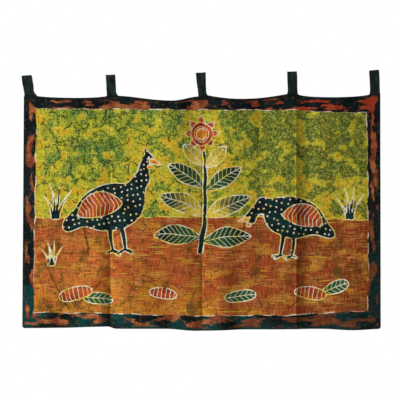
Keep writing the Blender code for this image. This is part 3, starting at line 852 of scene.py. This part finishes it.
def strip_path(crown_z, base_z):
    """The middle of the folded strip as y, z: up the front leg, round the crown's circle between
    the points where the straight legs touch it, and down the back leg."""
    radius = LOOP_RADIUS + CAD_SHEET / 2
    centre = crown_z - LOOP_RADIUS
    neck = base_z + NECK
    front_y = CAD_HEM + STRIP_GAP
    legs, touches = [], []
    for leg_y, side in ((front_y, -1.0), (front_y + CAD_SHEET + STRIP_GAP, 1.0)):
        lean = math.atan2(neck - centre, leg_y)
        touch = lean + side * math.acos(radius / math.hypot(leg_y, centre - neck))
        end = np.array([radius * math.cos(touch), centre + radius * math.sin(touch)])
        foot = np.array([leg_y, neck])
        tail_steps, leg_steps = round((TAIL + NECK) / PATH_STEP), round(np.hypot(*(end - foot)) / PATH_STEP)
        tail = np.linspace((leg_y, base_z - TAIL), foot, tail_steps, endpoint=False)
        legs.append(np.concatenate([tail, np.linspace(foot, end, leg_steps, endpoint=False)]))
        touches.append(touch)
    turn = np.linspace(touches[0] % (2 * math.pi), touches[1], CROWN_STEPS)
    crown = np.stack([radius * np.cos(turn), centre + radius * np.sin(turn)], axis=-1)
    return np.concatenate([legs[0], crown, legs[1][::-1]])


def tab_strip(name, tab, seed):
    """A strip carried along its path. Its sides run evenly from the base to the crown, the base
    spreads by the square of the way down to it, and the pressed edges are a little wavy."""
    crown_x, base_x, crown_z, base_z, crown_width, base_width, crown_rise, _, *spread = tab
    path = strip_path(crown_z, base_z)
    way = np.gradient(path, axis=0)
    way /= np.linalg.norm(way, axis=1, keepdims=True)
    run = np.concatenate([[0.0], np.cumsum(np.linalg.norm(np.diff(path, axis=0), axis=1))])
    width = (crown_width + base_width) / 2
    edges = [0.0, STRIP_ROUND / 3, STRIP_ROUND, 0.003]
    across = even_steps([d / width for d in edges] + [1.0 - d / width for d in edges], 0.08)
    s, u = np.meshgrid(run, across, indexing="ij")
    path_y, path_z = path[:, :1], path[:, 1:]
    way_y, way_z = way[:, :1], way[:, 1:]
    up = np.clip((path_z - base_z) / (crown_z - base_z), 0.0, 1.0)
    spreading = np.clip(1.0 - (path_z - base_z) / SPREAD_HEIGHT, 0.0, 1.0) ** 2
    middle_x = base_x + up * (crown_x - base_x)
    half = 0.5 * (base_width + up * (crown_width - base_width))
    left = middle_x - half - spreading * spread[0]
    right = middle_x + half + spreading * spread[1]
    ripple = 0.0005 * cloth_noise(s - 0.4, u * width, 0.011, seed) * up
    waver = 0.0006 * cloth_noise(s - 0.4, 0.0 * u, 0.017, seed + 1)
    strip_x = left + u * (right - left) + waver
    strip_y = path_y + ripple * way_z
    strip_z = path_z + up * (u - 0.5) * crown_rise - ripple * way_y
    ones = np.ones_like(u)
    from_rim = np.minimum(np.minimum(u, 1.0 - u) * width, np.minimum(s, run[-1] - s))
    thin = STRIP_THIN + (1.0 - STRIP_THIN) * (1.0 - ease((from_rim - STRIP_EDGE) / STRIP_EDGE))
    strip = closed_sheet(
        name,
        middle=np.stack([strip_x, strip_y, strip_z], axis=-1),
        out=np.stack([0.0 * u, -way_z * ones, way_y * ones], axis=-1),
        thickness=STRIP * thin * edge_profile(from_rim, STRIP_ROUND),
        uv=np.stack([base_x + (u - 0.5) * width, s], axis=-1),
        fields={},
    )
    return strip, run[-1]


tab_cotton, tree, shader = fabric("tab_cotton")
place = node(tree, "UVMap", settings={"uv_map": "cloth"}).outputs[0]
colour = mix(tree, rise(tree, blotches(tree, place, 0.025, 0.025), 0.36, 0.64), dye(16, 24, 26), dye(29, 40, 38))
threads = rise(tree, blotches(tree, place, 0.0020, 0.050), 0.48, 0.70)
colour = tint(tree, colour, dye(56, 72, 66), threads, 0.5)
faded = rise(tree, blotches(tree, place, 0.011, 0.011, start=3.0, detail=4.0), 0.60, 0.74)
colour = tint(tree, colour, dye(66, 58, 52), faded, 0.3)
show_weave(tree, shader, place, colour, 0.7, 0.4)

for number, tab in enumerate(TABS, start=1):
    strip, strip_length = tab_strip(f"tab_strip_{number}", tab, seed=10 * number)
    strip.data.materials.append(tab_cotton)
    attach(strip, "root")
    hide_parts(f"tab_loop_{number}")


# The sewing is a row of dark lockstitch round the hems, seen on both faces, and a small box of it
# through each tab's ends. Each stitch is a short bowed piece of thread, half sunk in the cloth.
STITCH, STITCH_PITCH = 0.0028, 0.0038
THREAD = 0.00028
SEAM_IN, TOP_SEAM_IN = 0.0105, 0.0200
BOX_TOP, BOX_BOTTOM, BOX_SIDE = 0.0040, 0.0150, 0.0030
TAB_BACK_Y = 0.00383
SIDE_TOP, SIDE_BOTTOM = -0.091, -0.787


def spaced(start, end):
    """The middles of the stitches of a row, as places along it."""
    count = round(abs(end - start) / STITCH_PITCH)
    return start + (np.arange(count) + 0.5) * (end - start) / count


seam_x = spaced(MEAN_LEFT + SEAM_IN, MEAN_RIGHT - SEAM_IN)
seam_z = spaced(SIDE_BOTTOM, SIDE_TOP)
share = (SIDE_TOP - seam_z) / MEAN_HEIGHT
rows = [(seam_x, top_edge(seam_x) - TOP_SEAM_IN), (seam_x, bottom_edge(seam_x) + SEAM_IN)]
rows.append((LEFT_TOP + share * (LEFT_BOTTOM - LEFT_TOP) + SEAM_IN, seam_z))
rows.append((RIGHT_TOP + share * (RIGHT_BOTTOM - RIGHT_TOP) - SEAM_IN, seam_z))
for _, base_x, _, base_z, _, base_width, *_ in TABS:
    reach = base_width / 2 - BOX_SIDE
    level = spaced(base_x - reach, base_x + reach)
    upright = spaced(base_z - BOX_BOTTOM, base_z - BOX_TOP)
    rows += [(level, np.full_like(level, base_z - drop)) for drop in (BOX_TOP, BOX_BOTTOM)]
    rows += [(np.full_like(upright, base_x + side), upright) for side in (-reach, reach)]
rows = [np.stack(row, axis=-1) for row in rows]
centres = np.concatenate(rows)
ways = np.concatenate([np.gradient(row, axis=0) for row in rows])
ways /= np.linalg.norm(ways, axis=1, keepdims=True)
through_tab = np.arange(len(centres)) >= sum(len(row) for row in rows[:4])

# A stitch: place along it, height over the cloth and thickness at four rings, in shares
BOW = np.array([(-0.5, -0.2, 0.4), (-0.28, 0.5, 1.0), (0.28, 0.5, 1.0), (0.5, -0.2, 0.4)])
SIDES = np.arange(4) * math.pi / 2 + math.pi / 4


def stitches(surface_y, facing):
    """Tubes of four rings of four points. A ring lies across the stitch, at the cloth's surface plus
    the bow's height, on the side that faces out. Quads join the rings and close the ends."""
    along = STITCH * BOW[None, :, 0, None] + 0 * SIDES
    radius = THREAD * BOW[None, :, 2, None]
    side = radius * np.cos(SIDES)
    lift = THREAD * BOW[None, :, 1, None] + radius * np.sin(SIDES)
    way_x, way_z = ways[:, 0, None, None], ways[:, 1, None, None]
    points = np.stack([
        centres[:, 0, None, None] + way_x * along - way_z * side,
        surface_y[:, None, None] + facing * lift,
        centres[:, 1, None, None] + way_z * along + way_x * side,
    ], axis=-1).reshape(-1, 3)
    ring = np.arange(16).reshape(4, 4)
    following = np.roll(ring, -1, axis=1)
    quads = np.stack([ring[:-1], ring[1:], following[1:], following[:-1]], axis=-1).reshape(-1, 4)
    quads = np.concatenate([quads, ring[:1], ring[3:, ::-1]])
    quads = quads[:, ::-1] if facing > 0 else quads
    return points, (quads[None] + 16 * np.arange(len(centres))[:, None, None]).reshape(-1, 4)


front_y = FRONT_FACE - forward(*centres.T)
front_points, front_quads = stitches(front_y, -1.0)
back_points, back_quads = stitches(np.where(through_tab, TAB_BACK_Y, front_y + HEM_CLOTH), 1.0)
mesh = bpy.data.meshes.new("hem_stitching")
points = np.concatenate([front_points, back_points])
mesh.from_pydata(points, [], np.concatenate([front_quads, back_quads + len(front_points)]))
mesh.shade_smooth()
stitching = bpy.data.objects.new("hem_stitching", mesh)
bpy.context.scene.collection.objects.link(stitching)

thread, tree, shader = fabric("sewing_thread")
place = node(tree, "TexCoord").outputs["Object"]
made = node(tree, "TexNoise", Vector=place, Scale=60.0, Detail=3.0)
colour = mix(tree, rise(tree, made.outputs["Fac"], 0.35, 0.65), dye(20, 32, 33), dye(46, 60, 56))
plug(tree, colour, shader.inputs["Base Color"])
twist = node(tree, "TexNoise", Vector=place, Scale=2600.0, Detail=1.0)
plug(tree, maths(tree, "MULTIPLY_ADD", twist.outputs["Fac"], 0.3, 0.45), shader.inputs["Roughness"])
stitching.data.materials.append(thread)
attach(stitching, "root")


# The room: a pale floor well below the hanging, an even white surround, a soft key light from the
# left and a weak fill from the right. The camera faces the panel from far off with a long lens.
FLOOR_Z, FLOOR_HALF = -1.25, 1.5
AIM = (-0.0053, 0.0, -0.398)
CAMERA_BACK, SEEN_WIDTH, SENSOR = 6.0, 1.2516, 36.0

mesh = bpy.data.meshes.new("floor")
corners = [(a * FLOOR_HALF, b * FLOOR_HALF, FLOOR_Z) for a, b in ((-1, -1), (1, -1), (1, 1), (-1, 1))]
mesh.from_pydata(corners, [], [(0, 1, 2, 3)])
floor = bpy.data.objects.new("floor", mesh)
bpy.context.scene.collection.objects.link(floor)
paint = bpy.data.materials.new("pale_floor")
paint.use_nodes = True
tree = paint.node_tree
shader = tree.nodes["Principled BSDF"]
grain = node(tree, "TexNoise", Vector=node(tree, "TexCoord").outputs["Object"], Scale=9.0, Detail=4.0)
plug(tree, mix(tree, grain.outputs["Fac"], dye(232, 231, 228), dye(242, 241, 239)), shader.inputs["Base Color"])
shader.inputs["Roughness"].default_value = 0.8
mesh.materials.append(paint)

world = bpy.data.worlds.new("studio")
bpy.context.scene.world = world
world.use_nodes = True
tree = world.node_tree
tree.nodes.clear()
around = node(tree, "Background", (1.0, 1.0, 1.0, 1.0), 0.20)
behind = node(tree, "Background", (1.0, 1.0, 1.0, 1.0), 1.0)
seen = node(tree, "LightPath").outputs["Is Camera Ray"]
both = node(tree, "MixShader", seen, around.outputs[0], behind.outputs[0])
plug(tree, both.outputs[0], node(tree, "OutputWorld").inputs["Surface"])


def soft_light(name, place, side, power):
    """A square area light of the given side, turned from its place towards the panel's middle."""
    light = bpy.data.lights.new(name, "AREA")
    light.size = side
    light.energy = power
    lamp = bpy.data.objects.new(name, light)
    lamp.location = place
    lamp.rotation_euler = (Vector(AIM) - Vector(place)).to_track_quat("-Z", "Y").to_euler()
    bpy.context.scene.collection.objects.link(lamp)


soft_light("key", (-5.6, -3.0, 1.3), 1.4, 590.0)
soft_light("fill", (2.8, -3.2, 0.2), 2.0, 5.0)
soft_light("back_fill", (0.8, 3.0, 0.8), 2.0, 45.0)

camera = bpy.data.objects.new("camera", bpy.data.cameras.new("camera"))
camera.location = (AIM[0], -CAMERA_BACK, AIM[2])
camera.rotation_euler = (math.pi / 2, 0.0, 0.0)
camera.data.sensor_width = SENSOR
camera.data.lens = SENSOR * CAMERA_BACK / SEEN_WIDTH
bpy.context.scene.collection.objects.link(camera)
bpy.context.scene.camera = camera
bpy.context.scene.view_settings.view_transform = "Standard"
